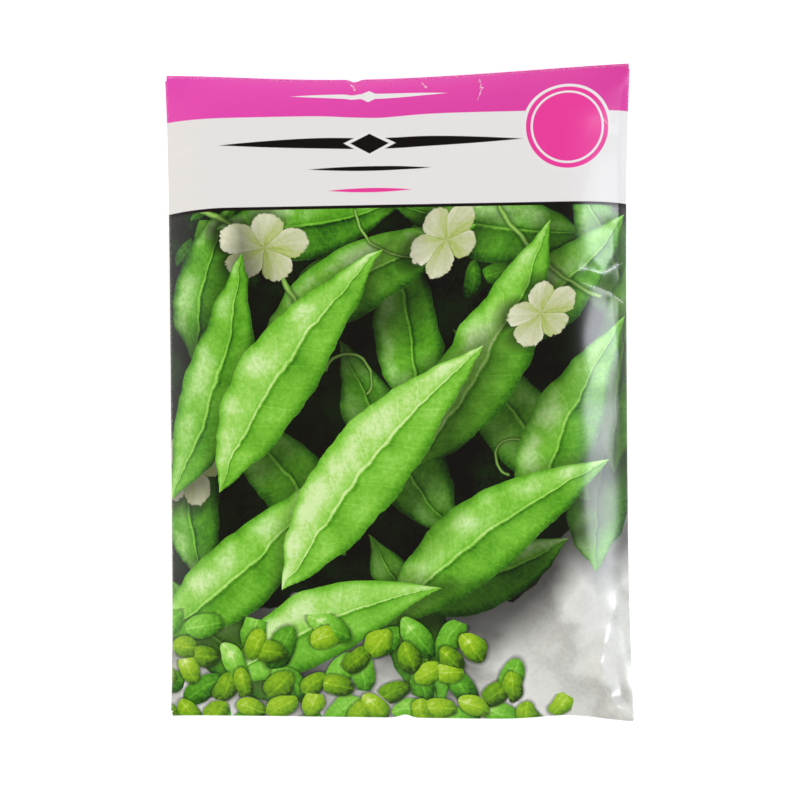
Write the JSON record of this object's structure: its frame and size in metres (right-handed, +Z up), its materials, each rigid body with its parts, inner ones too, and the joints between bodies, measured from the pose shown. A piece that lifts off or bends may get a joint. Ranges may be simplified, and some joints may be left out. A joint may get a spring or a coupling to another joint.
{
  "type": "seed packet",
  "caption": "Sealed flat paper seed packet, folded from one coated sheet round a layer of dried pea seeds, lying on its back.",
  "frame": {"origin": "middle of the packet's footprint, on the surface that it lies on", "axes": "+Z up, out of the printed front; +Y to the top fold; +X to the reader's right"},
  "size_m": [0.0825, 0.1144, 0.0083],
  "materials": {
    "printed_paper": "gloss",
    "dried_glue": "satin",
    "dried_pea": "matte"
  },
  "bodies": {
    "root": {"paper_envelope": "printed_paper", "back_seam_glue": "dried_glue", "bottom_flap_glue": "dried_glue", "top_flap_glue": "dried_glue", "pea_seed_01": "dried_pea", "pea_seed_02": "dried_pea", "pea_seed_03": "dried_pea", "pea_seed_04": "dried_pea", "pea_seed_05": "dried_pea", "pea_seed_06": "dried_pea", "pea_seed_07": "dried_pea", "pea_seed_08": "dried_pea", "pea_seed_09": "dried_pea", "pea_seed_10": "dried_pea", "pea_seed_11": "dried_pea", "pea_seed_12": "dried_pea", "pea_seed_13": "dried_pea", "pea_seed_14": "dried_pea", "pea_seed_15": "dried_pea", "pea_seed_16": "dried_pea", "pea_seed_17": "dried_pea", "pea_seed_18": "dried_pea", "pea_seed_19": "dried_pea", "pea_seed_20": "dried_pea", "pea_seed_21": "dried_pea", "pea_seed_22": "dried_pea", "pea_seed_23": "dried_pea", "pea_seed_24": "dried_pea", "pea_seed_25": "dried_pea", "pea_seed_26": "dried_pea", "pea_seed_27": "dried_pea", "pea_seed_28": "dried_pea", "pea_seed_29": "dried_pea", "pea_seed_30": "dried_pea", "pea_seed_31": "dried_pea", "pea_seed_32": "dried_pea", "pea_seed_33": "dried_pea", "pea_seed_34": "dried_pea", "pea_seed_35": "dried_pea", "pea_seed_36": "dried_pea", "pea_seed_37": "dried_pea", "pea_seed_38": "dried_pea", "pea_seed_39": "dried_pea", "pea_seed_40": "dried_pea", "pea_seed_41": "dried_pea", "pea_seed_42": "dried_pea", "pea_seed_43": "dried_pea", "pea_seed_44": "dried_pea", "pea_seed_45": "dried_pea", "pea_seed_46": "dried_pea", "pea_seed_47": "dried_pea", "pea_seed_48": "dried_pea", "pea_seed_49": "dried_pea", "pea_seed_50": "dried_pea", "pea_seed_51": "dried_pea", "pea_seed_52": "dried_pea", "pea_seed_53": "dried_pea", "pea_seed_54": "dried_pea", "pea_seed_55": "dried_pea", "pea_seed_56": "dried_pea"}
  },
  "joints": []
}
